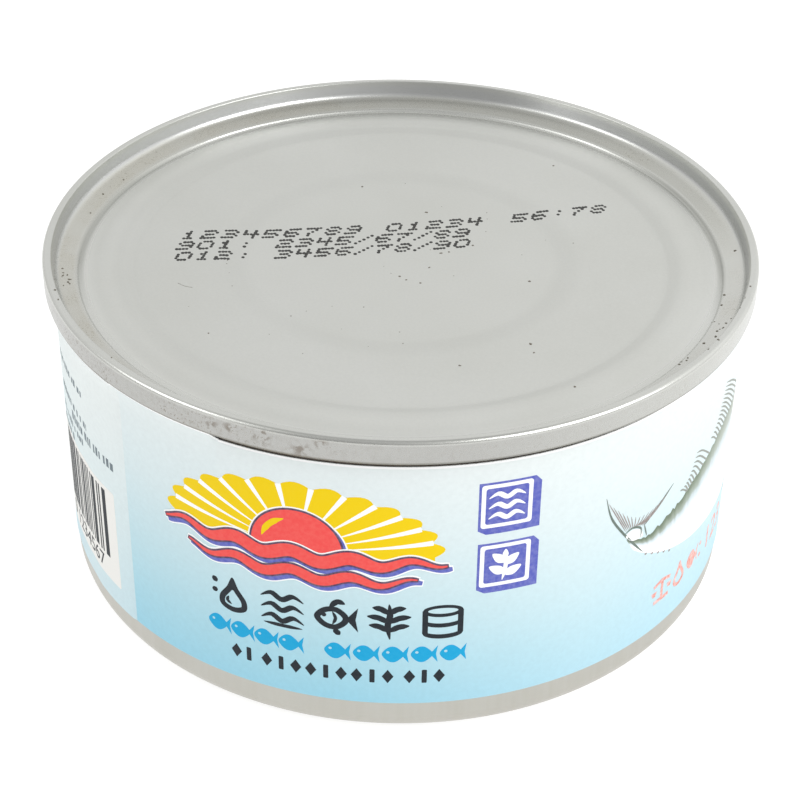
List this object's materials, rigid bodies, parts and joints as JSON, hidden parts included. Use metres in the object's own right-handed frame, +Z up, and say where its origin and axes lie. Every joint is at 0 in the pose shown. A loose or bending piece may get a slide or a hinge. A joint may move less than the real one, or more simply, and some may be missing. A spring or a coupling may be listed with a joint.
{
  "type": "tuna can",
  "caption": "Low round sealed food can with a seamed lid, a rounded bottom edge and a paper label round its wall, resting on its base.",
  "frame": {"origin": "middle of the base, at the level of the standing ring that the can rests on", "axes": "+Z up along the can's axis; the middle of the label's front looks along -Y; +X to the right of the front"},
  "size_m": [0.0874, 0.0874, 0.0433],
  "materials": {
    "tinplate": "satin tin-plated steel, bare below the label",
    "lid_metal": "dull pale grey lacquered tinplate, brighter along the folded seam",
    "label_paper": "smooth coated paper, pale at the top to sky blue at the bottom, with printed shapes"
  },
  "bodies": {
    "root": {"can_body": "tinplate", "lid": "lid_metal", "paper_label": "label_paper"}
  },
  "joints": []
}
